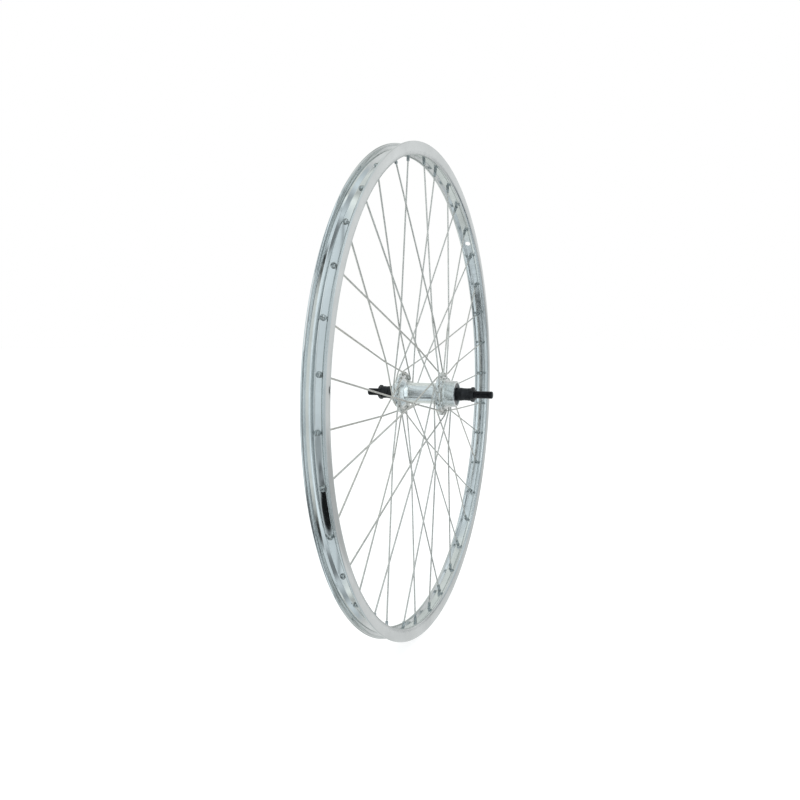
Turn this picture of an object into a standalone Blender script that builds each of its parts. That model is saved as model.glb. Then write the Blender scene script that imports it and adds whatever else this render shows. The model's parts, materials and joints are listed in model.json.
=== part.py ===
"""Bicycle rear wheel, 700C, 36 spokes laced four-cross, with a threaded freewheel hub.

Frame: the origin is the middle of the wheel, where the hub's axis meets the rim's centre plane.
+Y runs along the axle to the non-drive side, so the freewheel side is -Y. +X is forward, +Z is up.
Lengths below are in millimetres and angles in degrees; the mesh is made in metres.
"""

import math

import bmesh
import bpy
from mathutils import Matrix, Vector

for old in list(bpy.data.objects):
    bpy.data.objects.remove(old, do_unlink=True)

MM = 0.001
GAP = 0.3  # running and seating gap between neighbouring pieces

# Rim, ISO 622
RIM_R = 317.0  # outer edge of the hooks
BEAD_SEAT_R = 311.0
WELL_R = 306.8  # bottom of the tyre well, where the nipple heads sit
GROOVE_R = 305.2  # bottom of the groove on the hub side
SHOULDER_R = 301.6  # innermost line of the two side chambers
RIM_HALF_WIDTH = 12.85
RIM_STEPS = 72
VALVE_HOLE_R = 4.25
NIPPLE_HOLE_R = 2.75
HOLE_STAGGER = 0.7  # each nipple hole sits this far towards its own flange

# Spokes and lacing
SPOKES = 36
FIRST_HOLE = 2.7  # angle of rim hole 0 from +X towards +Z
CROSS_ANGLE = 80.0  # four crosses on 18 holes a flange
SPOKE_R = 1.0
SPOKE_HEAD_R = 1.75
BEND_R = 1.8
ELBOW = 2.35  # height of a spoke's centre line over its flange face, enough to pass the next head
NIPPLE_R = 2.0
NIPPLE_LENGTH = 12.0
NIPPLE_HEAD_R = 3.0

# Hub shell
FLANGE_R = 28.8
FLANGE_T = 3.2
FLANGE_Y = {+1: 32.4, -1: -23.2}  # +1 is the non-drive side
HUB_HOLE_CIRCLE_R = 24.8
HUB_HOLE_R = 1.45
BARREL_R = 13.9
SHELL_END = {+1: 43.5, -1: -43.4}
FREEWHEEL_THREAD_R = 17.45
FREEWHEEL_SHOULDER_R = 20.2
FREEWHEEL_SHOULDER_Y = -29.6
CUP_SEAT_R = 15.6

# Axle and bearings
OVER_LOCKNUT = 135.0
AXLE_R = 4.9
AXLE_END = {+1: 84.0, -1: -91.3}
BORE_R = 5.25
BALL_R = 3.175
BALLS = 9
BALL_CIRCLE_R = 10.5
BALL_Y = {+1: 36.5, -1: -36.4}
CONE_R = 8.6
CONE_END = {+1: 53.0, -1: -50.4}
CONE_FLATS = 15.0
NUT_FLATS = 17.0
NUT_T = 5.0
WASHER_R = 8.3
WASHER_T = 1.8
SPACER_R = 8.0

parts = bpy.data.collections.new("bicycle_rear_wheel")
cutters = bpy.data.collections.new("cutters")
bpy.context.scene.collection.children.link(parts)
bpy.context.scene.collection.children.link(cutters)


def material(name, colour, metallic, roughness):
    made = bpy.data.materials.new(name)
    made.use_nodes = True
    shader = made.node_tree.nodes["Principled BSDF"]
    shader.inputs["Base Color"].default_value = (*colour, 1.0)
    shader.inputs["Metallic"].default_value = metallic
    shader.inputs["Roughness"].default_value = roughness
    made.diffuse_color = (*colour, 1.0)
    return made


POLISHED = material("rim_polished_alloy", (0.82, 0.85, 0.85), 1.0, 0.14)
ZINC = material("spoke_zinc", (0.62, 0.63, 0.61), 0.9, 0.35)
ALLOY = material("hub_alloy", (0.76, 0.78, 0.79), 1.0, 0.28)
BLACK = material("black_oxide_steel", (0.02, 0.021, 0.023), 0.7, 0.42)
BLACK_SEAL = material("dust_cap_black", (0.025, 0.025, 0.027), 0.2, 0.5)
RACE = material("bearing_steel", (0.6, 0.6, 0.6), 1.0, 0.2)


def add(name, mesh, finish):
    obj = bpy.data.objects.new(name, mesh)
    obj.data.materials.append(finish)
    parts.objects.link(obj)
    return obj


def add_cutter(name, mesh):
    obj = bpy.data.objects.new(name, mesh)
    obj.hide_render = True
    obj.display_type = "WIRE"
    cutters.objects.link(obj)
    return obj


def boolean(obj, other, operation="DIFFERENCE"):
    step = obj.modifiers.new(operation.title(), "BOOLEAN")
    step.operation = operation
    step.solver = "EXACT"
    step.object = other


def turned(name, outline, finish, steps, closed=True, first_angle=0.0):
    """A solid turned about the Y axis. The outline is (radius, y) and runs down its outer side from the +Y end.
    first_angle, from +X towards +Z, is where the first ring of vertices lies."""
    turn = -math.radians(first_angle)
    bm = bmesh.new()
    ring = [
        bm.verts.new((r * MM * math.cos(turn), r * MM * math.sin(turn), y * MM))
        for r, y in outline
    ]
    for a, b in zip(ring, ring[1:]):
        bm.edges.new((a, b))
    if closed:
        bm.edges.new((ring[-1], ring[0]))
    mesh = bpy.data.meshes.new(name)
    bm.to_mesh(mesh)
    bm.free()
    obj = add(name, mesh, finish) if finish else add_cutter(name, mesh)
    obj.rotation_euler = (-math.pi / 2, 0, 0)  # the turning axis, local Z, lies along +Y
    screw = obj.modifiers.new("Turn", "SCREW")
    screw.axis = "Z"
    screw.angle = math.tau
    screw.steps = screw.render_steps = steps
    screw.use_merge_vertices = True
    screw.merge_threshold = 0.00001
    screw.use_smooth_shade = True
    return obj


def cylinder(bm, radius, length, matrix, sides, turn=0.0):
    bmesh.ops.create_cone(
        bm,
        cap_ends=True,
        segments=sides,
        radius1=radius * MM,
        radius2=radius * MM,
        depth=length * MM,
        matrix=matrix @ Matrix.Rotation(turn, 4, "Z"),
    )


def mesh_of(name, bm):
    mesh = bpy.data.meshes.new(name)
    bm.to_mesh(mesh)
    bm.free()
    return mesh


def polar(radius, angle, y):
    a = math.radians(angle)
    return Vector((radius * math.cos(a), y, radius * math.sin(a)))


ALONG_Y = Matrix.Rotation(-math.pi / 2, 4, "X")


# ---------------------------------------------------------------- lacing
def lacing(k):
    """Side, whether the spoke leaves the flange's inner face, rim angle and hub angle of the spoke in rim hole k."""
    side = 1 if k % 2 == 0 else -1
    inner = k % 4 in (0, 3)
    rim_angle = FIRST_HOLE + k * 360.0 / SPOKES
    hub_angle = rim_angle + (-CROSS_ANGLE if inner else CROSS_ANGLE)
    return side, inner, rim_angle, hub_angle


def spoke_path(k):
    """Centre line and radius, point by point, from the head at the hub to the nipple's head in the tyre well."""
    side, inner, rim_angle, hub_angle = lacing(k)
    out = -side if inner else side  # the way the spoke leaves the flange, along Y
    face_out = FLANGE_Y[side] + out * FLANGE_T / 2
    face_head = FLANGE_Y[side] - out * FLANGE_T / 2
    hole = polar(HUB_HOLE_CIRCLE_R, hub_angle, 0)
    seat = polar((WELL_R + GROOVE_R) / 2, rim_angle, side * HOLE_STAGGER)
    flat = Vector((seat.x - hole.x, 0, seat.z - hole.z)).normalized()
    plane = face_out + out * ELBOW

    def at(y, along=0.0):
        return Vector((hole.x, y, hole.z)) + flat * along

    points = [
        (at(face_head - out * 1.1), SPOKE_HEAD_R),
        (at(face_head - out * (GAP + 0.05)), SPOKE_HEAD_R),
        (at(face_head - out * GAP), SPOKE_R),
    ]
    for turn in (0, 45, 90):
        t = math.radians(turn)
        y = plane - out * BEND_R * (1 - math.sin(t))
        points.append((at(y, BEND_R * (1 - math.cos(t))), SPOKE_R))
    if not inner:
        # A spoke on the outer face runs past the flange's edge before it turns in to the rim.
        reach = 0.0
        while at(0, reach).length < FLANGE_R + 2.0:
            reach += 0.25
        points.append((at(plane, reach), SPOKE_R))
    last = points[-1][0]
    way = (seat - last).normalized()
    points += [
        (seat - way * NIPPLE_LENGTH, SPOKE_R),
        (seat - way * (NIPPLE_LENGTH - 0.2), NIPPLE_R),
        (seat + way * 1.45, NIPPLE_R),
        (seat + way * 1.5, NIPPLE_HEAD_R),
        (seat + way * 3.4, NIPPLE_HEAD_R * 0.8),
    ]
    return points


def add_spoke(name, k):
    curve = bpy.data.curves.new(name, "CURVE")
    curve.dimensions = "3D"
    curve.bevel_depth = MM  # the radius of each point below is in millimetres
    curve.bevel_resolution = 1
    curve.use_fill_caps = True
    curve.twist_mode = "MINIMUM"
    points = spoke_path(k)
    spline = curve.splines.new("POLY")
    spline.points.add(len(points) - 1)
    for point, (place, radius) in zip(spline.points, points):
        point.co = (*(place * MM), 1.0)
        point.radius = radius
    obj = bpy.data.objects.new(name, curve)
    obj.data.materials.append(ZINC)
    parts.objects.link(obj)
    return obj


# ---------------------------------------------------------------- rim
half = [
    (WELL_R, 4.2),
    (BEAD_SEAT_R, 6.8),
    (BEAD_SEAT_R, 11.0),
    (315.6, 11.0),
    (RIM_R, 11.6),
    (RIM_R, 12.5),
    (316.0, RIM_HALF_WIDTH),
    (304.2, 11.5),
    (302.2, 10.5),
    (SHOULDER_R, 9.0),
    (302.7, 6.6),
    (GROOVE_R, 4.4),
]
# From the +Y side of the hub face round to the tyre side would be inside out, so the loop starts at the tyre well.
rim_outline = [(r, y) for r, y in reversed(half[:6])]
rim_outline += [(r, -y) for r, y in half[:6]]
rim_outline += [(r, -y) for r, y in half[6:]]
rim_outline += [(r, y) for r, y in reversed(half[6:])]
rim = turned("rim", rim_outline, POLISHED, RIM_STEPS, first_angle=FIRST_HOLE + 2.5)

bm = bmesh.new()
middle = (WELL_R + GROOVE_R) / 2
for k in range(SPOKES):
    side, inner, rim_angle, hub_angle = lacing(k)
    place = polar(middle, rim_angle, side * HOLE_STAGGER) * MM
    radial = Vector((place.x, 0, place.z)).to_track_quat("Z", "Y").to_matrix().to_4x4()
    cylinder(bm, NIPPLE_HOLE_R, 8, Matrix.Translation(place) @ radial, 6)
place = polar(middle, FIRST_HOLE + 45, 0) * MM
radial = Vector((place.x, 0, place.z)).to_track_quat("Z", "Y").to_matrix().to_4x4()
cylinder(bm, VALVE_HOLE_R, 8, Matrix.Translation(place) @ radial, 12)
boolean(rim, add_cutter("rim_holes", mesh_of("rim_holes", bm)))

# ---------------------------------------------------------------- hub shell
y_l, y_r, t = FLANGE_Y[1], FLANGE_Y[-1], FLANGE_T / 2
shell_outline = [
    (CUP_SEAT_R, SHELL_END[1]),
    (16.9, SHELL_END[1]),
    (17.4, SHELL_END[1] - 0.6),
    (18.4, 36.4),
    (20.2, y_l + t),
    (FLANGE_R - 0.5, y_l + t),
    (FLANGE_R, y_l + t - 0.6),
    (FLANGE_R, y_l - t + 0.6),
    (FLANGE_R - 0.5, y_l - t),
    (20.2, y_l - t),
    (16.0, 26.6),
    (BARREL_R, 21.5),
    (BARREL_R, -13.2),
    (16.0, -18.3),
    (20.2, y_r + t),
    (FLANGE_R - 0.5, y_r + t),
    (FLANGE_R, y_r + t - 0.6),
    (FLANGE_R, y_r - t + 0.6),
    (FLANGE_R - 0.5, y_r - t),
    (21.0, y_r - t),
    (FREEWHEEL_SHOULDER_R, y_r - t - 0.8),
    (FREEWHEEL_SHOULDER_R, FREEWHEEL_SHOULDER_Y),
    (FREEWHEEL_THREAD_R, FREEWHEEL_SHOULDER_Y),
    (FREEWHEEL_THREAD_R, SHELL_END[-1] + 0.8),
    (16.8, SHELL_END[-1]),
    (CUP_SEAT_R, SHELL_END[-1]),
    (CUP_SEAT_R, -31.3),
    (9.6, -31.3),
    (9.6, 31.4),
    (CUP_SEAT_R, 31.4),
]
shell = turned("hub_shell", shell_outline, ALLOY, 36, first_angle=FIRST_HOLE + 5)
bm = bmesh.new()
for k in range(SPOKES):
    side, inner, rim_angle, hub_angle = lacing(k)
    place = polar(HUB_HOLE_CIRCLE_R, hub_angle, FLANGE_Y[side]) * MM
    cylinder(bm, HUB_HOLE_R, 2 * FLANGE_T, Matrix.Translation(place) @ ALONG_Y, 6)
boolean(shell, add_cutter("spoke_holes", mesh_of("spoke_holes", bm)))

# ---------------------------------------------------------------- spokes, each with its nipple
# Each flange's spokes are numbered round the rim from the valve hole, from +X towards +Z.
for number in range(SPOKES):
    k = (5 + number) % SPOKES
    side = lacing(k)[0]
    word = "nondrive" if side > 0 else "drive"
    add_spoke(f"{word}_spoke_{number // 2 + 1:02d}", k)

# ---------------------------------------------------------------- bearings, cones and the axle's stack
SIDES = {+1: "nondrive", -1: "drive"}


def stacked(name, outline, side, finish, steps=24, closed=True):
    """A turned piece whose outline is given outward from the wheel's centre, on either side of it."""
    points = [(r, side * y) for r, y in outline]
    return turned(name, points if side > 0 else points[::-1], finish, steps, closed)


turned(
    "axle",
    [
        (0, AXLE_END[1]),
        (AXLE_R - 0.8, AXLE_END[1]),
        (AXLE_R, AXLE_END[1] - 0.8),
        (AXLE_R, AXLE_END[-1] + 0.8),
        (AXLE_R - 0.8, AXLE_END[-1]),
        (0, AXLE_END[-1]),
    ],
    BLACK,
    24,
    closed=False,
)

for side, word in SIDES.items():
    ball_y = abs(BALL_Y[side])
    # Bearing cup: a floor against the shell's seat and a wall round the balls.
    stacked(
        f"{word}_bearing_cup",
        [
            (15.3, ball_y + 3.5),
            (15.3, ball_y - 4.8),
            (8.6, ball_y - 4.8),
            (8.6, ball_y - 3.5),
            (12.4, ball_y - 3.5),
            (14.0, ball_y - 1.9),
            (14.0, ball_y + 3.5),
        ],
        side,
        RACE,
    )
    stacked(
        f"{word}_dust_cap",
        [
            (15.3, ball_y + 5.9),
            (15.3, ball_y + 4.5),
            (8.95, ball_y + 4.5),
            (8.95, ball_y + 5.9),
        ],
        side,
        BLACK_SEAL,
    )
    # Nine balls held in one cage.
    cage = stacked(
        f"{word}_ball_retainer",
        [
            (11.0, ball_y + 2.5),
            (11.0, ball_y + 0.7),
            (10.0, ball_y + 0.7),
            (10.0, ball_y + 2.5),
        ],
        side,
        RACE,
        steps=27,
    )
    bm = bmesh.new()
    for n in range(BALLS):
        place = polar(BALL_CIRCLE_R, n * 360.0 / BALLS + 7.0, BALL_Y[side]) * MM
        bmesh.ops.create_uvsphere(
            bm,
            u_segments=8,
            v_segments=5,
            radius=BALL_R * MM,
            matrix=Matrix.Translation(place) @ ALONG_Y,
        )
    boolean(cage, add_cutter(f"{word}_balls", mesh_of(f"{word}_balls", bm)), "UNION")
    # Cone: race inside the hub, wrench flats outside.
    end = abs(CONE_END[side])
    cone = stacked(
        f"{word}_cone",
        [
            (CONE_R - 0.4, end),
            (CONE_R, end - 0.4),
            (CONE_R, ball_y + 4.0),
            (6.2, ball_y - 0.3),
            (6.2, ball_y - 4.0),
            (BORE_R, ball_y - 4.0),
            (BORE_R, end),
        ],
        side,
        BLACK,
    )
    bm = bmesh.new()
    for way in (-1, 1):
        bmesh.ops.create_cube(
            bm,
            size=1.0,
            matrix=Matrix.Translation(
                Vector((way * (CONE_FLATS / 2 + 3), side * (end - 1.4), 0)) * MM
            )
            @ Matrix.Diagonal((6 * MM, 5.2 * MM, 24 * MM, 1)),
        )
    boolean(cone, add_cutter(f"{word}_cone_flats", mesh_of(f"{word}_cone_flats", bm)))
    # Locknut, keyed washer and spacer.
    face = OVER_LOCKNUT / 2
    nut_in = face - NUT_T
    washer_out = nut_in - GAP
    washer_in = washer_out - WASHER_T
    for name, radius, outer, inner_end in (
        ("lock_washer", WASHER_R, washer_out, washer_in),
        ("spacer", SPACER_R, washer_in - GAP, end + GAP),
    ):
        stacked(
            f"{word}_{name}",
            [
                (radius, outer),
                (radius, inner_end),
                (BORE_R, inner_end),
                (BORE_R, outer),
            ],
            side,
            BLACK,
        )
    bm = bmesh.new()
    place = Matrix.Translation(Vector((0, side * (face - NUT_T / 2), 0)) * MM)
    corner = NUT_FLATS / 2 / math.cos(math.pi / 6)
    cylinder(bm, corner, NUT_T, place @ ALONG_Y, 6)
    nut = add(f"{word}_locknut", mesh_of(f"{word}_locknut", bm), BLACK)
    bm = bmesh.new()
    cylinder(bm, BORE_R, NUT_T + 4, place @ ALONG_Y, 24)
    boolean(nut, add_cutter(f"{word}_nut_bore", mesh_of(f"{word}_nut_bore", bm)))
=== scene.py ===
"""Looks of a bicycle rear wheel: rim, spokes, nipples, threaded freewheel hub, axle, floor, light and camera.

Same frame as the CAD: +Y along the axle to the non-drive side, +X forward, +Z up. Outlines below are in millimetres.
"""

import json
import math

import bmesh
import bpy
import numpy as np
from mathutils import Matrix, Vector

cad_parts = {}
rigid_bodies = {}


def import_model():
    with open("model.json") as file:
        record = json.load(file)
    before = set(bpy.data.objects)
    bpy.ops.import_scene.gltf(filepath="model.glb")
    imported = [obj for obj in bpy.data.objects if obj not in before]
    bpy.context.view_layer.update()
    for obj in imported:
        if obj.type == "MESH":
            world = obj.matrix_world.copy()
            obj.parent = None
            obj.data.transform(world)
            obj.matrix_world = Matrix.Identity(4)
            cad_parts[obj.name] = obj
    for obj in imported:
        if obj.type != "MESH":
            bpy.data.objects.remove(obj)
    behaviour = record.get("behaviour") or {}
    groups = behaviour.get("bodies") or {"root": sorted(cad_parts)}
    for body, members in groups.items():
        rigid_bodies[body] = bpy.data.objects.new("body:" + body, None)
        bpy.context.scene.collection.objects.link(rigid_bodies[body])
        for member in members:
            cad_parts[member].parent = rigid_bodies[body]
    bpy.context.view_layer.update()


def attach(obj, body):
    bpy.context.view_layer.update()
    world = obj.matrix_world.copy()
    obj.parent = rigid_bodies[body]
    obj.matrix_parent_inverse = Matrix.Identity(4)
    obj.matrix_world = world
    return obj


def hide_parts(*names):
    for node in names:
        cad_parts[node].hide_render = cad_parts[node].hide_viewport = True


for old in list(bpy.data.objects):
    bpy.data.objects.remove(old, do_unlink=True)

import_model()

MM = 0.001
SPOKES = 36
FIRST_HOLE = 2.7
CROSS_ANGLE = 80.0
HOLE_STAGGER = 0.7
SEAT_R = 306.0
FLANGE_T = 3.2
FLANGE_Y = {+1: 32.4, -1: -23.2}
FLANGE_R = 28.8
HUB_HOLE_CIRCLE_R = 24.8
ELBOW = 2.35
ALONG_Y = Matrix.Rotation(-math.pi / 2, 4, "X")
SIDES = {+1: "nondrive", -1: "drive"}


def polar(radius, angle, y):
    a = math.radians(angle)
    return Vector((radius * math.cos(a), y, radius * math.sin(a)))


# ================================================================ materials
def new_material(name):
    made = bpy.data.materials.new(name)
    made.use_nodes = True
    tree = made.node_tree
    return made, tree, tree.nodes["Principled BSDF"]


def node(tree, kind, **inputs):
    made = tree.nodes.new(kind)
    for key, value in inputs.items():
        made.inputs[key.replace("_", " ")].default_value = value
    return made


def ramp(tree, source, stops):
    made = tree.nodes.new("ShaderNodeValToRGB")
    elements = made.color_ramp.elements
    while len(elements) < len(stops):
        elements.new(0.5)
    for element, (at, colour) in zip(elements, stops):
        element.position = at
        element.color = (*colour, 1.0) if len(colour) == 3 else colour
    tree.links.new(source, made.inputs["Fac"])
    return made.outputs["Color"]


def grey(value):
    return (value, value, value)


def coordinates(tree, kind="object"):
    """The point in the row frame, or ("round") the point's distance from the axle and its place along it, so that a
    pattern made from it runs round the wheel as turning and drawing marks do."""
    texture = tree.nodes.new("ShaderNodeTexCoord")
    if kind == "object":
        return texture.outputs["Object"]
    split = tree.nodes.new("ShaderNodeSeparateXYZ")
    tree.links.new(texture.outputs["Object"], split.inputs[0])
    flat = tree.nodes.new("ShaderNodeCombineXYZ")
    tree.links.new(split.outputs["X"], flat.inputs["X"])
    tree.links.new(split.outputs["Z"], flat.inputs["Z"])
    length = tree.nodes.new("ShaderNodeVectorMath")
    length.operation = "LENGTH"
    tree.links.new(flat.outputs[0], length.inputs[0])
    joined = tree.nodes.new("ShaderNodeCombineXYZ")
    tree.links.new(length.outputs["Value"], joined.inputs["X"])
    tree.links.new(split.outputs["Y"], joined.inputs["Y"])
    return joined.outputs[0]


def noise(tree, vector, scale, detail=2.0, roughness=0.5):
    made = node(tree, "ShaderNodeTexNoise", Scale=scale, Detail=detail, Roughness=roughness)
    tree.links.new(vector, made.inputs["Vector"])
    return made.outputs["Fac"]


def bump(tree, height, strength, distance, below=None):
    made = node(tree, "ShaderNodeBump", Strength=strength, Distance=distance)
    tree.links.new(height, made.inputs["Height"])
    if below is not None:
        tree.links.new(below, made.inputs["Normal"])
    return made.outputs["Normal"]


def metal(name, colours, metallic, rough, patch=60.0, grain=None, lines=None, pits=None):
    """A metal: colour and roughness vary in soft patches, lines run round the wheel's axis, pits are fine specks.
    colours and rough are (from, to); grain is (scale, height mm), lines is (scale, height mm), pits is (scale, amount)."""
    made, tree, shader = new_material(name)
    place = coordinates(tree)
    shader.inputs["Metallic"].default_value = metallic
    patches = noise(tree, place, patch, 4.0, 0.6)
    colour = ramp(tree, patches, [(0.32, colours[0]), (0.68, colours[1])])
    if pits:
        specks = noise(tree, place, pits[0], 2.0, 0.7)
        mask = ramp(tree, specks, [(0.30, grey(1.0 - pits[1])), (0.42, grey(1.0))])
        mix = tree.nodes.new("ShaderNodeMix")
        mix.data_type = "RGBA"
        mix.blend_type = "MULTIPLY"
        mix.inputs["Factor"].default_value = 1.0
        tree.links.new(colour, mix.inputs["A"])
        tree.links.new(mask, mix.inputs["B"])
        colour = mix.outputs["Result"]
    tree.links.new(colour, shader.inputs["Base Color"])
    fine = noise(tree, place, patch * 5.3, 3.0, 0.6)
    spread = tree.nodes.new("ShaderNodeMapRange")
    spread.inputs["From Min"].default_value = 0.3
    spread.inputs["From Max"].default_value = 0.7
    spread.inputs["To Min"].default_value = rough[0]
    spread.inputs["To Max"].default_value = rough[1]
    tree.links.new(fine, spread.inputs["Value"])
    tree.links.new(spread.outputs["Result"], shader.inputs["Roughness"])
    normal = None
    if grain:
        normal = bump(tree, noise(tree, place, grain[0], 3.0, 0.6), 1.0, grain[1] * MM, normal)
    if lines:
        normal = bump(tree, noise(tree, coordinates(tree, "round"), lines[0], 3.0, 0.7), 1.0, lines[1] * MM, normal)
    if normal is not None:
        tree.links.new(normal, shader.inputs["Normal"])
    made.diffuse_color = (*colours[0], 1.0)
    return made


RIM = metal("polished_alloy_rim", ((0.67, 0.69, 0.69), (0.78, 0.80, 0.80)), 1.0, (0.05, 0.12), patch=22.0, grain=(110.0, 0.014), lines=(900.0, 0.0016), pits=(1500.0, 0.10))
# The rim is polished on its outside and only satin on the side that faces the hub.
tree = RIM.node_tree
reach = tree.nodes.new("ShaderNodeSeparateXYZ")
tree.links.new(coordinates(tree, "round"), reach.inputs[0])
satin = tree.nodes.new("ShaderNodeMapRange")
for key, value in (("From Min", 306.0 * MM), ("From Max", 306.3 * MM), ("To Min", 2.4), ("To Max", 1.0)):
    satin.inputs[key].default_value = value
tree.links.new(reach.outputs["X"], satin.inputs["Value"])
rougher = tree.nodes.new("ShaderNodeMath")
rougher.operation = "MULTIPLY"
tree.links.new(tree.nodes["Principled BSDF"].inputs["Roughness"].links[0].from_socket, rougher.inputs[0])
tree.links.new(satin.outputs["Result"], rougher.inputs[1])
tree.links.new(rougher.outputs[0], tree.nodes["Principled BSDF"].inputs["Roughness"])
HUB = metal("bright_turned_alloy", ((0.78, 0.80, 0.79), (0.88, 0.89, 0.88)), 1.0, (0.14, 0.24), patch=70.0, grain=(420.0, 0.004), lines=(2600.0, 0.0016))
WIRE = metal("zinc_plated_wire", ((0.60, 0.58, 0.55), (0.80, 0.78, 0.73)), 1.0, (0.24, 0.40), patch=240.0, grain=(1500.0, 0.003), pits=(900.0, 0.25))
NIPPLE = metal("nickel_plated_nipple", ((0.34, 0.37, 0.37), (0.56, 0.58, 0.58)), 1.0, (0.14, 0.28), patch=260.0, grain=(1400.0, 0.003), pits=(1300.0, 0.3))
BLACK = metal("black_oxide_steel", ((0.016, 0.017, 0.019), (0.034, 0.035, 0.038)), 0.75, (0.30, 0.46), patch=160.0, grain=(900.0, 0.008), pits=(1500.0, 0.35))
THREAD = metal("black_oxide_thread", ((0.018, 0.018, 0.020), (0.045, 0.045, 0.048)), 0.75, (0.26, 0.42), patch=300.0, grain=(1600.0, 0.006))
CAP = metal("dark_pressed_cap", ((0.13, 0.13, 0.135), (0.22, 0.22, 0.225)), 1.0, (0.18, 0.30), patch=180.0, grain=(1100.0, 0.005))
RACE = metal("ground_bearing_steel", ((0.50, 0.50, 0.49), (0.68, 0.68, 0.67)), 1.0, (0.10, 0.22), patch=200.0, lines=(3500.0, 0.002))


# ================================================================ mesh helpers
def place_object(name, mesh, finish, body, nodes=(), sharp=35.0):
    """Puts a mesh, in metres in the row frame, into the scene as one finished piece on a CAD body."""
    bm = bmesh.new()
    bm.from_mesh(mesh)
    bmesh.ops.remove_doubles(bm, verts=bm.verts, dist=1e-7)
    bmesh.ops.dissolve_degenerate(bm, dist=1e-8, edges=bm.edges)
    bmesh.ops.recalc_face_normals(bm, faces=bm.faces)
    limit = math.radians(sharp)
    for face in bm.faces:
        face.smooth = True
    for edge in bm.edges:
        edge.smooth = len(edge.link_faces) == 2 and edge.calc_face_angle(0.0) < limit
    bm.to_mesh(mesh)
    bm.free()
    mesh.materials.clear()
    mesh.materials.append(finish)
    mesh.name = name
    obj = bpy.data.objects.new(name, mesh)
    bpy.context.scene.collection.objects.link(obj)
    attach(obj, body)
    if nodes:
        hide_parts(*nodes)
    return obj


def rounded(outline, closed=True, steps=4):
    """The outline's points are (r, y) or (r, y, fillet). A fillet swaps the corner for an arc of that radius."""
    made = []
    count = len(outline)
    for i, point in enumerate(outline):
        here = np.array(point[:2], float)
        radius = point[2] if len(point) > 2 else 0.0
        if radius <= 0 or (not closed and i in (0, count - 1)):
            made.append(tuple(here))
            continue
        before = np.array(outline[i - 1][:2], float)
        after = np.array(outline[(i + 1) % count][:2], float)
        a, b = before - here, after - here
        la, lb = np.linalg.norm(a), np.linalg.norm(b)
        a, b = a / la, b / lb
        half = math.acos(max(-1.0, min(1.0, float(a @ b)))) / 2
        if half > math.radians(88):
            made.append(tuple(here))
            continue
        cut = min(radius / math.tan(half), 0.48 * la, 0.48 * lb)
        radius = cut * math.tan(half)
        centre = here + (a + b) / np.linalg.norm(a + b) * (radius / math.sin(half))
        start, end = here + a * cut - centre, here + b * cut - centre
        turn = math.atan2(start[0] * end[1] - start[1] * end[0], float(start @ end))
        pieces = max(2, min(12, int(round(abs(turn) / math.radians(90) * steps * 2))))
        for n in range(pieces + 1):
            t = turn * n / pieces
            c, s = math.cos(t), math.sin(t)
            made.append((centre[0] + start[0] * c - start[1] * s, centre[1] + start[0] * s + start[1] * c))
    return made


def lathe(outline, steps, closed=True, first_angle=0.0, shape=None):
    """A mesh turned about the Y axis from (r, y) points. shape(angle, r, y, i) may give another radius."""
    count = len(outline)
    angles = [math.radians(first_angle) + math.tau * j / steps for j in range(steps)]
    bm = bmesh.new()
    rings = []
    for i, (r, y) in enumerate(outline):
        if r < 1e-6:
            rings.append([bm.verts.new((0, y * MM, 0))] * steps)
            continue
        ring = []
        for a in angles:
            q = shape(a, r, y, i) if shape else r
            ring.append(bm.verts.new((q * MM * math.cos(a), y * MM, q * MM * math.sin(a))))
        rings.append(ring)
    last = count if closed else count - 1
    for i in range(last):
        one, two = rings[i], rings[(i + 1) % count]
        for j in range(steps):
            k = (j + 1) % steps
            corners = [one[j], one[k], two[k], two[j]]
            unique = list(dict.fromkeys(corners))
            if len(unique) >= 3:
                bm.faces.new(unique)
    bmesh.ops.recalc_face_normals(bm, faces=bm.faces)
    mesh = bpy.data.meshes.new("turned")
    bm.to_mesh(mesh)
    bm.free()
    return mesh


def cut(mesh, cutters, operation="DIFFERENCE"):
    """mesh with the cutter meshes taken away, joined on, or kept in common, as a new mesh."""
    holder = bpy.data.objects.new("holder", mesh)
    bpy.context.scene.collection.objects.link(holder)
    made = []
    for n, cutter in enumerate(cutters):
        other = bpy.data.objects.new(f"cutter{n}", cutter)
        bpy.context.scene.collection.objects.link(other)
        step = holder.modifiers.new("cut", "BOOLEAN")
        step.operation = operation
        step.solver = "EXACT"
        step.object = other
        made.append(other)
    bpy.context.view_layer.update()
    graph = bpy.context.evaluated_depsgraph_get()
    result = bpy.data.meshes.new_from_object(holder.evaluated_get(graph))
    for o in [holder, *made]:
        bpy.data.objects.remove(o, do_unlink=True)
    return result


def joined(bms):
    """One mesh from several (mesh, matrix)."""
    bm = bmesh.new()
    for mesh, matrix in bms:
        part = bmesh.new()
        part.from_mesh(mesh)
        part.transform(matrix)
        temporary = bpy.data.meshes.new("temporary")
        part.to_mesh(temporary)
        part.free()
        bm.from_mesh(temporary)
        bpy.data.meshes.remove(temporary)
    made = bpy.data.meshes.new("joined")
    bm.to_mesh(made)
    bm.free()
    return made


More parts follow.
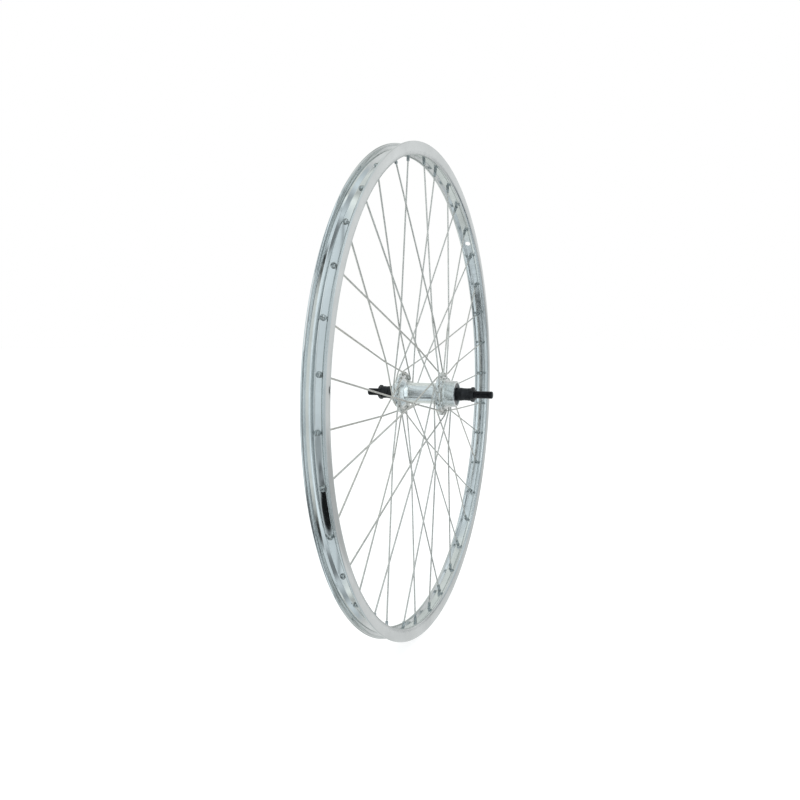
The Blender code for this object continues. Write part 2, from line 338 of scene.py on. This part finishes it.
def tube(points, sides=16, caps=True):
    """A tube along points of (place, radius) in millimetres, its rings carried along without twist."""
    places = [Vector(p) for p, r in points]
    bm = bmesh.new()
    rings = []
    ways = []
    for i in range(len(places)):
        a = places[max(i - 1, 0)]
        b = places[min(i + 1, len(places) - 1)]
        ways.append((b - a).normalized())
    side = ways[0].orthogonal().normalized()
    for i, (p, r) in enumerate(points):
        side = (side - ways[i] * side.dot(ways[i])).normalized()
        other = ways[i].cross(side)
        rings.append([
            bm.verts.new((places[i] + (side * math.cos(t) + other * math.sin(t)) * r) * MM)
            for t in (math.tau * j / sides for j in range(sides))
        ])
    for one, two in zip(rings, rings[1:]):
        for j in range(sides):
            k = (j + 1) % sides
            bm.faces.new((one[j], one[k], two[k], two[j]))
    if caps:
        bm.faces.new(rings[0])
        bm.faces.new(rings[-1])
    mesh = bpy.data.meshes.new("tube")
    bm.to_mesh(mesh)
    bm.free()
    return mesh


# ================================================================ lacing
def lacing(k):
    side = 1 if k % 2 == 0 else -1
    inner = k % 4 in (0, 3)
    rim_angle = FIRST_HOLE + k * 360.0 / SPOKES
    hub_angle = rim_angle + (-CROSS_ANGLE if inner else CROSS_ANGLE)
    return side, inner, rim_angle, hub_angle


def spoke_base(k):
    """What the CAD's centre line is made of: the hole, the seat, the flange faces and the plane of the elbow."""
    side, inner, rim_angle, hub_angle = lacing(k)
    out = -side if inner else side
    hole = polar(HUB_HOLE_CIRCLE_R, hub_angle, 0)
    seat = polar(SEAT_R, rim_angle, side * HOLE_STAGGER)
    flat = Vector((seat.x - hole.x, 0, seat.z - hole.z)).normalized()
    return {
        "side": side, "inner": inner, "out": out, "hole": hole, "seat": seat, "flat": flat,
        "face_out": FLANGE_Y[side] + out * FLANGE_T / 2,
        "face_head": FLANGE_Y[side] - out * FLANGE_T / 2,
        "length": (Vector((seat.x, 0, seat.z)) - Vector((hole.x, 0, hole.z))).length,
    }


BASES = {k: spoke_base(k) for k in range(SPOKES)}


def crossing(k):
    """How far along spoke k, from its hub hole, it meets the last spoke it crosses."""
    me = BASES[k]
    found = []
    for j, other in BASES.items():
        if j == k or other["side"] != me["side"] or other["inner"] == me["inner"]:
            continue
        p, d = me["hole"], me["flat"]
        q, e = other["hole"], other["flat"]
        cross = d.x * e.z - d.z * e.x
        if abs(cross) < 1e-6:
            continue
        s = ((q.x - p.x) * e.z - (q.z - p.z) * e.x) / cross
        u = ((q.x - p.x) * d.z - (q.z - p.z) * d.x) / cross
        if 5 < s < me["length"] - 20 and 5 < u < other["length"] - 20:
            found.append((s, j, u))
    return max(found)


def plain_y(k, s):
    """The height along Y of the CAD's straight centre line at distance s from the hole."""
    me = BASES[k]
    plane = me["face_out"] + me["out"] * ELBOW
    start = 1.8
    if not me["inner"]:
        start = 0.0
        while Vector((me["hole"].x, 0, me["hole"].z)).length and (me["hole"] + me["flat"] * start).length < FLANGE_R + 2.0:
            start += 0.25
    if s <= start:
        return plane
    t = (s - start) / (me["length"] - start)
    return plane + (me["seat"].y - plane) * t


def wire_points(k):
    """Centre line and radius of the wire, from its head in the flange to its end in the nipple. At the last cross the
    two spokes of a pair rest on each other, the one off the flange's outer face passing underneath."""
    me = BASES[k]
    out = me["out"]

    def at(s, y):
        return me["hole"] + me["flat"] * s + Vector((0, y, 0))

    s_cross, other, s_other = crossing(k)
    mean = (plain_y(k, s_cross) + plain_y(other, s_other)) / 2
    lift = mean + me["side"] * (1.02 if me["inner"] else -1.02)
    plane = me["face_out"] + out * 1.65  # a wire lies close on its flange
    head = me["face_head"]
    # A button head with a domed top and a short cone under it, in the hole's countersink.
    points = [
        (at(0, head - out * 1.35), 0.35),
        (at(0, head - out * 1.30), 0.85),
        (at(0, head - out * 1.12), 1.35),
        (at(0, head - out * 0.80), 1.68),
        (at(0, head - out * 0.45), 1.75),
        (at(0, head - out * 0.20), 1.60),
        (at(0, head + out * 0.25), 1.10),
        (at(0, head + out * 0.5), 1.0),
    ]
    bend = 2.3
    clear = ELBOW - 0.25
    top = me["face_out"] + out * clear
    for n in range(0, 9):
        t = math.radians(90.0 * n / 8)
        points.append((at(bend * (1 - math.cos(t)), top - out * bend * (1 - math.sin(t))), 1.0))
    # From the elbow to the cross, then to the nipple.
    keys = [(bend, top)]
    if not me["inner"]:
        s = bend
        while (me["hole"] + me["flat"] * s).length < FLANGE_R + 1.0:
            s += 0.25
        keys.append((s, top))
    keys += [(s_cross, lift), (me["length"], me["seat"].y)]
    fine = []
    for (s0, y0), (s1, y1) in zip(keys, keys[1:]):
        count = max(2, int((s1 - s0) / 9.0))
        for n in range(1, count + 1):
            t = n / count
            fine.append([s0 + (s1 - s0) * t, y0 + (y1 - y0) * t])
    # Soften the kinks a little, as bent wire is.
    stations = np.array([[bend, top]] + fine)
    dense = np.linspace(stations[0, 0], stations[-1, 0], 121)
    heights = np.interp(dense, stations[:, 0], stations[:, 1])
    kernel = np.array([1, 2, 3, 2, 1], float)
    kernel /= kernel.sum()
    soft = heights.copy()
    for n in range(2, len(heights) - 2):
        soft[n] = heights[n - 2 : n + 3] @ kernel
    pick = sorted(set(list(range(1, 30)) + list(range(30, 115, 5)) + [119]))
    near = [i for i, s in enumerate(dense) if abs(s - s_cross) < 14]
    pick = sorted(set(pick + near))
    end = me["length"] - 1.0
    for n in pick:
        if 3 < dense[n] < end - 1:
            points.append((at(dense[n], soft[n]), 1.0))
    points.append((at(end, float(np.interp(end, dense, soft))), 1.0))
    return points


# ================================================================ rim
half = [
    (306.8, 3.9, 1.2),
    (310.7, 6.9, 1.0),
    (311.3, 11.2, 0.5),
    (313.7, 11.55, 0.5),
    (315.0, 10.4, 0.5),
    (316.3, 10.6, 0.5),
    (317.0, 11.8, 0.5),
    (316.9, 12.6, 0.4),
    (315.8, 12.85, 0.6),
    (304.4, 11.78, 1.0),
    (302.1, 10.6, 1.3),
    (301.6, 8.9, 1.2),
    (302.6, 6.7, 1.0),
    (305.2, 4.1, 1.4),
]
hooks, hubward = half[:9], half[9:]
rim_outline = [(r, y, f) for r, y, f in reversed(hooks)] + [(r, -y, f) for r, y, f in hooks]
rim_outline += [(r, -y, f) for r, y, f in hubward] + [(r, y, f) for r, y, f in reversed(hubward)]
rim_mesh = lathe(rounded(rim_outline, steps=3), 360, first_angle=FIRST_HOLE + 0.5)


def radial_matrix(radius, angle, y):
    place = polar(radius, angle, y)
    turn = Vector((place.x, 0, place.z)).to_track_quat("Z", "Y").to_matrix().to_4x4()
    return Matrix.Translation(place * MM) @ turn


nipple_cut = [(0, -4.0), (3.4, -4.0), (2.75, -0.80), (2.35, -0.45), (2.35, 0.35), (3.1, 0.95), (3.6, 4.0), (0, 4.0)]
valve_cut = [(0, -4.0), (5.6, -4.0), (4.7, -0.85), (4.25, -0.5), (4.25, 0.5), (4.7, 0.95), (5.6, 4.0), (0, 4.0)]
to_z = Matrix.Rotation(math.pi / 2, 4, "X")
one_hole = lathe(nipple_cut, 28, closed=False)
one_valve = lathe(valve_cut, 36, closed=False)
holes = []
for k in range(SPOKES):
    side, inner, rim_angle, hub_angle = lacing(k)
    holes.append((one_hole, radial_matrix(SEAT_R, rim_angle, side * HOLE_STAGGER) @ to_z))
holes.append((one_valve, radial_matrix(SEAT_R, FIRST_HOLE + 45.0, 0) @ to_z))
rim_mesh = cut(rim_mesh, [joined(holes)])
place_object("polished_rim", rim_mesh, RIM, "wheel", ["rim"], sharp=30.0)


# ================================================================ nipples
def nipple_mesh():
    """A 2.0 mm nipple, 12 mm long under its head. Local Z runs from its tail to its slotted head; 0 is the seat."""
    bm = bmesh.new()
    sides = 32
    sections = [  # z, radius, squareness from 0 round to 1 square
        (-10.6, 1.15, 0.0), (-10.6, 1.62, 0.0), (-10.3, 1.80, 0.0), (-9.9, 1.86, 0.15), (-9.5, 1.72, 1.0), (-5.9, 1.72, 1.0),
        (-5.5, 1.95, 0.1), (-5.1, 1.98, 0.0), (0.0, 1.98, 0.0), (0.45, 2.1, 0.0), (1.35, 2.95, 0.0), (1.75, 3.05, 0.0), (2.2, 3.0, 0.0),
        (2.75, 2.55, 0.0), (3.1, 1.85, 0.0), (3.28, 1.0, 0.0), (3.32, 0.4, 0.0),
    ]
    rings = []
    for z, radius, square in sections:
        ring = []
        for j in range(sides):
            a = math.tau * (j + 0.5) / sides
            c, s = abs(math.cos(a)), abs(math.sin(a))
            box = radius / max(c, s)
            corner = min(box, radius * 1.20)
            q = radius * (1 - square) + corner * square
            ring.append(bm.verts.new((q * math.cos(a) * MM, q * math.sin(a) * MM, z * MM)))
        rings.append(ring)
    for one, two in zip(rings, rings[1:]):
        for j in range(sides):
            k = (j + 1) % sides
            bm.faces.new((one[j], one[k], two[k], two[j]))
    bm.faces.new(rings[0])
    bm.faces.new(rings[-1])
    bmesh.ops.recalc_face_normals(bm, faces=bm.faces)
    mesh = bpy.data.meshes.new("nipple")
    bm.to_mesh(mesh)
    bm.free()
    bm = bmesh.new()
    bmesh.ops.create_cube(bm, size=1.0, matrix=Matrix.Translation((0, 0, 3.6 * MM)) @ Matrix.Diagonal((0.85 * MM, 8 * MM, 2.2 * MM, 1)))
    slot = bpy.data.meshes.new("slot")
    bm.to_mesh(slot)
    bm.free()
    return cut(mesh, [slot])


one_nipple = nipple_mesh()
for number in range(SPOKES):
    k = (5 + number) % SPOKES
    me = BASES[k]
    word = SIDES[me["side"]]
    index = number // 2 + 1
    cad = f"{word}_spoke_{index:02d}"
    points = wire_points(k)
    wire = tube(points)
    place_object(f"{word}_wire_{index:02d}", wire, WIRE, "wheel", [cad], sharp=40.0)
    last, before = Vector(points[-1][0]), Vector(points[-6][0])
    way = (last - before).normalized()
    turn = way.to_track_quat("Z", "Y").to_matrix().to_4x4()
    spin = Matrix.Rotation(math.radians((number * 137) % 360), 4, "Z")
    nipple = one_nipple.copy()
    nipple.transform(Matrix.Translation((me["seat"]) * MM) @ turn @ spin)
    place_object(f"{word}_nipple_{index:02d}", nipple, NIPPLE, "wheel", [cad], sharp=32.0)

# ================================================================ hub shell
y_l, y_r, t = FLANGE_Y[1], FLANGE_Y[-1], FLANGE_T / 2
PITCH = 25.4 / 24
THREAD_FROM, THREAD_TO = -29.9, -43.1


def thread_radius(turns, depth, r):
    """A 60 degree thread with its crests and roots a little flattened; turns is the number of turns along."""
    x = turns - math.floor(turns)
    tooth = min(1.0, max(0.0, 1.35 * (1 - abs(2 * x - 1)) - 0.175))
    return r - depth * (1 - tooth)


shell_outline = [
    (14.9, 43.5, 0.0), (16.9, 43.5, 0.5), (17.5, 42.9, 0.3), (18.3, 36.6, 1.0), (20.0, y_l + t, 1.2),
    (FLANGE_R, y_l + t, 0.8), (FLANGE_R, y_l - t, 0.8),
    (20.4, y_l - t, 2.2), (15.6, 26.4, 3.0), (13.9, 21.0, 6.0), (13.9, -12.8, 6.0), (15.6, -18.2, 3.0), (20.4, y_r + t, 2.2),
    (FLANGE_R, y_r + t, 0.8), (FLANGE_R, y_r - t, 0.8),
    (21.0, y_r - t, 0.8), (20.2, -26.0, 0.5), (20.2, -29.6, 0.4), (16.75, -29.6, 0.2),
]
front = rounded(shell_outline, closed=False, steps=4)
rows = int((THREAD_FROM - THREAD_TO) / PITCH * 10)
thread_rows = [(17.4, THREAD_FROM + (THREAD_TO - THREAD_FROM) * n / rows) for n in range(rows + 1)]
back = [(16.6, -43.4), (15.0, -43.4), (14.7, -43.2), (14.7, -42.2), (15.3, -42.0), (15.35, -31.3), (9.6, -31.3), (9.6, 31.4), (15.35, 31.4), (15.35, 42.1), (14.7, 42.3), (14.7, 43.3)]
outline = front + thread_rows + back
first_thread = len(front)
last_thread = first_thread + len(thread_rows) - 1


def shell_shape(a, r, y, i):
    if first_thread <= i <= last_thread:
        ease = min(1.0, (i - first_thread) / 8.0, (last_thread - i) / 8.0)
        cut_r = thread_radius(-y / PITCH - a / math.tau, 0.62, 17.4)
        return 16.78 + (cut_r - 16.78) * ease
    return r


shell_mesh = lathe(outline, 120, first_angle=FIRST_HOLE + 1.5, shape=shell_shape)
hole_outline = [(0, -4.0), (3.6, -4.0), (2.0, -1.62), (1.25, -0.9), (1.25, 0.9), (2.0, 1.62), (3.6, 4.0), (0, 4.0)]
flange_hole = lathe(hole_outline, 24, closed=False)
cuts = []
for k in range(SPOKES):
    side, inner, rim_angle, hub_angle = lacing(k)
    cuts.append((flange_hole, Matrix.Translation(polar(HUB_HOLE_CIRCLE_R, hub_angle, FLANGE_Y[side]) * MM)))
shell_mesh = cut(shell_mesh, [joined(cuts)])
place_object("hub_shell_turned", shell_mesh, HUB, "wheel", ["hub_shell"], sharp=32.0)


# ================================================================ axle
def axle_mesh():
    pitch = 1.0
    ends = (84.0, -91.3)
    near = (52.0, -50.0)
    outline = [(0.0, ends[0]), (3.9, ends[0])]
    first = len(outline)
    per = 6
    rows = int((ends[0] - near[0]) / pitch * per)
    outline += [(4.9, ends[0] - 0.15 - (ends[0] - near[0] - 0.15) * n / rows) for n in range(rows + 1)]
    middle = len(outline)
    outline += [(4.35, near[0] - 1.0), (4.35, near[1] + 1.0)]
    second = len(outline)
    rows = int((near[1] - ends[1]) / pitch * per)
    outline += [(4.9, near[1] - (near[1] - ends[1] - 0.15) * n / rows) for n in range(rows + 1)]
    last = len(outline)
    outline += [(3.9, ends[1]), (0.0, ends[1])]

    def shape(a, r, y, i):
        if first <= i < middle or second <= i < last:
            q = thread_radius(y / pitch + a / math.tau, 0.6, 4.92)
            edge = min(ends[0] - y, y - ends[1])
            return min(q, 3.95 + edge * 0.95)
        return r

    return lathe(outline, 40, closed=False, shape=shape)


place_object("axle_threaded", axle_mesh(), THREAD, "axle_assembly", ["axle"], sharp=60.0)


# ================================================================ cones, spacers, washers, locknuts, bearings
def stacked(outline, side, steps=64, shape=None, closed=True, fine=3):
    points = rounded(outline, closed=closed, steps=fine)
    return lathe([(r, side * y) for r, y in points], steps, closed=closed, shape=shape)


def block(size, centre):
    bm = bmesh.new()
    bmesh.ops.create_cube(bm, size=1.0, matrix=Matrix.Translation(Vector(centre) * MM) @ Matrix.Diagonal((*[s * MM for s in size], 1)))
    mesh = bpy.data.meshes.new("block")
    bm.to_mesh(mesh)
    bm.free()
    return mesh


def hexagon(flats, length, y):
    bm = bmesh.new()
    bmesh.ops.create_cone(
        bm, cap_ends=True, segments=6, radius1=flats / 2 / math.cos(math.pi / 6) * MM, radius2=flats / 2 / math.cos(math.pi / 6) * MM,
        depth=length * MM, matrix=Matrix.Translation((0, y * MM, 0)) @ ALONG_Y,
    )
    mesh = bpy.data.meshes.new("hexagon")
    bm.to_mesh(mesh)
    bm.free()
    return mesh


CONE_END = {+1: 53.0, -1: -50.4}
BALL_Y = {+1: 36.5, -1: -36.4}
for side, word in SIDES.items():
    ball_y = abs(BALL_Y[side])
    end = abs(CONE_END[side])
    # Cone: curved race, a plain collar and two wrench flats.
    race = [(6.35 + 3.0 * (1 - math.cos(math.radians(a))), ball_y - 0.6 + 4.2 * math.sin(math.radians(a))) for a in range(0, 71, 10)]
    cone = stacked(
        [(8.6, end, 0.45), (8.6, ball_y + 4.3, 0.3)] + [(r, y) for r, y in reversed(race)] + [(6.2, ball_y - 4.0, 0.3), (4.95, ball_y - 4.0), (4.95, end)],
        side,
    )
    cone = cut(cone, [block((6, 5.0, 24), (way * 10.5, side * (end - 1.0), 0)) for way in (-1, 1)])
    place_object(f"{word}_cone_turned", cone, BLACK, "axle_assembly", [f"{word}_cone"], sharp=30.0)
    face = 67.5
    nut_in, washer_out = face - 5.0, face - 5.05
    washer_in = washer_out - 1.9
    # Spacer, a little waisted between its two lands.
    a, b = end + 0.05, washer_in - 0.05
    waist = min(1.6, (b - a) * 0.22)
    spacer = stacked(
        [(8.3, b, 0.35), (8.3, b - waist, 0.4), (8.12, b - waist - 0.5, 0.4), (8.12, a + waist + 0.5, 0.4), (8.3, a + waist, 0.4), (8.3, a, 0.35), (4.95, a, 0.2), (4.95, b, 0.2)],
        side,
    )
    place_object(f"{word}_spacer_turned", spacer, BLACK, "axle_assembly", [f"{word}_spacer"], sharp=30.0)
    washer = stacked([(8.3, washer_out, 0.3), (8.3, washer_in, 0.3), (4.95, washer_in, 0.1), (4.95, washer_out, 0.1)], side)
    place_object(f"{word}_lock_washer_keyed", washer, BLACK, "axle_assembly", [f"{word}_lock_washer"], sharp=30.0)
    # Locknut: a hexagon with chamfered corners on both faces and a chamfered bore.
    nut = hexagon(17.0, 5.0, side * (face - 2.5))
    chamfer = stacked([(0, face), (8.25, face), (9.95, face - 0.95), (9.95, face - 4.05), (8.25, face - 5.0), (0, face - 5.0)], side, steps=96, closed=False)
    nut = cut(nut, [chamfer], "INTERSECT")
    bore = stacked([(0, face + 1), (5.6 + 1, face + 1), (5.6, face), (4.95, face - 0.65), (4.95, face - 4.4), (5.5, face - 5.0), (6.5, face - 6), (0, face - 6)], side, steps=48, closed=False)
    nut = cut(nut, [bore])
    place_object(f"{word}_locknut_hex", nut, BLACK, "axle_assembly", [f"{word}_locknut"], sharp=20.0)
    # Dust cap: a pressed ring with a rolled lip.
    cap = stacked(
        [(14.65, ball_y + 5.9, 0.4), (15.2, ball_y + 4.5, 0.3), (8.95, ball_y + 4.5, 0.2), (8.95, ball_y + 6.2, 0.3), (9.9, ball_y + 6.2, 0.3), (10.5, ball_y + 5.2, 0.5), (12.9, ball_y + 5.2, 0.6), (13.6, ball_y + 5.95, 0.3)],
        side, steps=96,
    )
    place_object(f"{word}_dust_cap_pressed", cap, CAP, "wheel", [f"{word}_dust_cap"], sharp=30.0)
    # Cup with a curved race.
    arc = [(10.9 + 3.1 * math.sin(math.radians(a)), ball_y - 0.4 - 3.1 * math.cos(math.radians(a))) for a in range(0, 91, 10)]
    cup = stacked([(15.3, ball_y + 3.5, 0.3), (15.3, ball_y - 4.8, 0.5), (8.6, ball_y - 4.8, 0.2), (8.6, ball_y - 3.5, 0.2)] + arc + [(14.0, ball_y + 3.5, 0.2)], side, steps=96)
    place_object(f"{word}_bearing_cup_ground", cup, RACE, "wheel", [f"{word}_bearing_cup"], sharp=30.0)
    # Nine balls and the pressed cage that keeps them apart.
    bm = bmesh.new()
    for n in range(9):
        centre = polar(10.5, n * 40.0 + 7.0, BALL_Y[side]) * MM
        bmesh.ops.create_uvsphere(bm, u_segments=24, v_segments=16, radius=3.175 * MM, matrix=Matrix.Translation(centre) @ ALONG_Y)
    mesh = bpy.data.meshes.new("balls")
    bm.to_mesh(mesh)
    bm.free()
    place_object(f"{word}_balls", mesh, RACE, "wheel", [f"{word}_ball_retainer"], sharp=60.0)
    cage = stacked([(11.6, ball_y + 3.3, 0.2), (11.6, ball_y + 1.6, 0.2), (11.2, ball_y + 1.6, 0.15), (11.2, ball_y + 2.9, 0.15), (9.6, ball_y + 2.9, 0.15), (9.6, ball_y + 3.3, 0.15)], side, steps=72)
    place_object(f"{word}_ball_cage", cage, RACE, "wheel", [f"{word}_ball_retainer"], sharp=30.0)

# ================================================================ floor, light, camera
bm = bmesh.new()
bmesh.ops.create_grid(bm, x_segments=1, y_segments=1, size=30.0)
mesh = bpy.data.meshes.new("floor")
bm.to_mesh(mesh)
bm.free()
floor = bpy.data.objects.new("floor", mesh)
floor.location = (0, 0, -0.3172)
bpy.context.scene.collection.objects.link(floor)
# The floor looks white, with a faint shadow. The metal doesn't mirror it: below the horizon it mirrors the world.
paint, tree, shader = new_material("floor_white")
tree.nodes.remove(shader)
pale = node(tree, "ShaderNodeBsdfDiffuse", Color=(0.30, 0.30, 0.30, 1))
glow = node(tree, "ShaderNodeEmission", Color=(0.86, 0.86, 0.86, 1), Strength=1.0)
both = tree.nodes.new("ShaderNodeAddShader")
tree.links.new(pale.outputs[0], both.inputs[0])
tree.links.new(glow.outputs[0], both.inputs[1])
tree.links.new(both.outputs[0], tree.nodes["Material Output"].inputs["Surface"])
floor.data.materials.append(paint)
floor.visible_glossy = False

# A white studio as the camera sees it. What the metal reflects is the same studio with grey between its soft boxes:
# bright overhead, a darker band above the floor, and a few narrow dark gaps at fixed places round the object.
world = bpy.data.worlds.new("studio")
bpy.context.scene.world = world
world.use_nodes = True
tree = world.node_tree
tree.nodes.clear()
out = tree.nodes.new("ShaderNodeOutputWorld")
seen = node(tree, "ShaderNodeBackground", Strength=1.0)
seen.inputs["Color"].default_value = (1, 1, 1, 1)
lit = node(tree, "ShaderNodeBackground", Strength=1.0)
choose = tree.nodes.new("ShaderNodeMixShader")
path = tree.nodes.new("ShaderNodeLightPath")
tree.links.new(path.outputs["Is Camera Ray"], choose.inputs[0])
tree.links.new(lit.outputs[0], choose.inputs[1])
tree.links.new(seen.outputs[0], choose.inputs[2])
tree.links.new(choose.outputs[0], out.inputs["Surface"])
direction = tree.nodes.new("ShaderNodeTexCoord").outputs["Generated"]
split = tree.nodes.new("ShaderNodeSeparateXYZ")
tree.links.new(direction, split.inputs[0])
turn = tree.nodes.new("ShaderNodeMath")
turn.operation = "ARCTAN2"
tree.links.new(split.outputs["Y"], turn.inputs[0])
tree.links.new(split.outputs["X"], turn.inputs[1])
share = tree.nodes.new("ShaderNodeMapRange")
share.inputs["From Min"].default_value = -math.pi
share.inputs["From Max"].default_value = math.pi
tree.links.new(turn.outputs[0], share.inputs["Value"])


def bearing(degrees):
    return (degrees + 180.0) / 360.0


# Brightness by compass bearing, in degrees from +X towards +Y: pale walls with narrow darker gaps between them.
round_about = []
for degrees, value in (
    (-180, 0.86), (-165, 1.45), (-158, 1.40), (-150, 0.66), (-145, 0.06), (-137, 0.08), (-131, 0.85), (-112, 1.28), (-106, 1.22), (-97, 0.92), (-91, 0.26), (-83, 0.28),
    (-76, 0.92), (-64, 0.40), (-52, 0.95), (-38, 0.66), (-29, 0.74), (-18, 0.92), (-8, 0.80), (6, 0.36), (14, 0.80), (30, 0.95),
    (50, 0.80), (60, 0.55), (70, 1.12), (100, 0.86), (108, 0.50), (118, 0.88), (158, 0.94), (163.5, 0.02), (167, 0.02), (171, 0.90),
):
    if -34 < degrees < -4:
        tint = (0.98, 1.0, 1.0)
    elif -4 <= degrees < 75 or degrees > 160:
        tint = (0.94, 1.0, 0.975)
    else:
        tint = (0.89, 1.0, 1.05)
    round_about.append((bearing(degrees), tuple(value * c for c in tint)))
across = ramp(tree, share.outputs["Result"], round_about)
raise_ = tree.nodes.new("ShaderNodeMapRange")
raise_.inputs["From Min"].default_value = -1.0
raise_.inputs["From Max"].default_value = 1.0
tree.links.new(split.outputs["Z"], raise_.inputs["Value"])
upward = ramp(tree, raise_.outputs["Result"], [
    (0.0, grey(0.88)), (0.20, grey(0.90)), (0.36, grey(0.84)), (0.44, grey(0.80)), (0.50, grey(0.88)), (0.56, grey(0.92)), (0.72, grey(0.86)), (0.86, grey(0.94)), (1.0, grey(0.98)),
])
mix = tree.nodes.new("ShaderNodeMix")
mix.data_type = "RGBA"
mix.blend_type = "MULTIPLY"
mix.inputs["Factor"].default_value = 1.0
tree.links.new(across, mix.inputs["A"])
tree.links.new(upward, mix.inputs["B"])
light_colour = mix.outputs["Result"]
# Black cards low down: bearing, height, half width in degrees, depth.
for degrees, height, wide, depth in (
    (139.0, -42.5, 10.5, 0.985), (147.0, -31.0, 6.5, 0.62), (151.0, -20.0, 8.0, 0.46), (159.0, -49.5, 6.0, 0.72),
    (-42.0, -18.0, 8.0, 0.80), (-30.0, 2.0, 5.0, 0.45), (-17.0, -12.5, 4.5, 0.28), (-154.0, -47.0, 12.0, 0.74), (107.0, -38.5, 6.0, 0.60),
):
    a, h = math.radians(degrees), math.radians(height)
    dot = tree.nodes.new("ShaderNodeVectorMath")
    dot.operation = "DOT_PRODUCT"
    dot.inputs[1].default_value = (math.cos(h) * math.cos(a), math.cos(h) * math.sin(a), math.sin(h))
    unit = tree.nodes.new("ShaderNodeVectorMath")
    unit.operation = "NORMALIZE"
    tree.links.new(direction, unit.inputs[0])
    tree.links.new(unit.outputs[0], dot.inputs[0])
    mask = tree.nodes.new("ShaderNodeMapRange")
    mask.inputs["From Min"].default_value = math.cos(math.radians(wide * 1.25))
    mask.inputs["From Max"].default_value = math.cos(math.radians(wide * 0.85))
    mask.inputs["To Min"].default_value = 1.0
    mask.inputs["To Max"].default_value = 1.0 - depth
    tree.links.new(dot.outputs["Value"], mask.inputs["Value"])
    dim = tree.nodes.new("ShaderNodeVectorMath")
    dim.operation = "SCALE"
    tree.links.new(light_colour, dim.inputs[0])
    tree.links.new(mask.outputs["Result"], dim.inputs["Scale"])
    light_colour = dim.outputs[0]
tree.links.new(light_colour, lit.inputs["Color"])


def area_light(name, location, size, power, aim=(0, 0, 0)):
    data = bpy.data.lights.new(name, "AREA")
    data.shape = "RECTANGLE"
    data.size, data.size_y = size
    data.energy = power
    obj = bpy.data.objects.new(name, data)
    obj.location = location
    obj.rotation_mode = "QUATERNION"
    obj.rotation_quaternion = (Vector(aim) - Vector(location)).to_track_quat("-Z", "Y")
    bpy.context.scene.collection.objects.link(obj)
    return obj


area_light("overhead", (0.0, 0.0, 2.6), (3.0, 3.0), 30).visible_glossy = False
area_light("key", (-2.2, -1.2, 1.6), (1.0, 1.5), 2.4)
area_light("fill", (1.8, -2.0, 1.2), (1.4, 1.4), 1.2)

azimuth, elevation = math.radians(-68.93), math.radians(5.05)
back = Vector((math.sin(azimuth) * math.cos(elevation), -math.cos(azimuth) * math.cos(elevation), math.sin(elevation)))
camera = bpy.data.objects.new("camera", bpy.data.cameras.new("camera"))
camera.data.sensor_width = 36.0
camera.data.lens = 657.1 / 800 * 36.0
camera.data.clip_start = 0.01
camera.data.clip_end = 100
camera.location = (-0.8364, -0.2847, 0.0688)
right = Vector((math.cos(azimuth), math.sin(azimuth), 0))
up = back.cross(right)
camera.rotation_mode = "QUATERNION"
camera.rotation_quaternion = Matrix((right, up, back)).transposed().to_quaternion()
bpy.context.scene.collection.objects.link(camera)
bpy.context.scene.camera = camera

view = bpy.context.scene.view_settings
view.view_transform = "Standard"
view.look = "None"
view.exposure = 0.0
view.gamma = 1.0
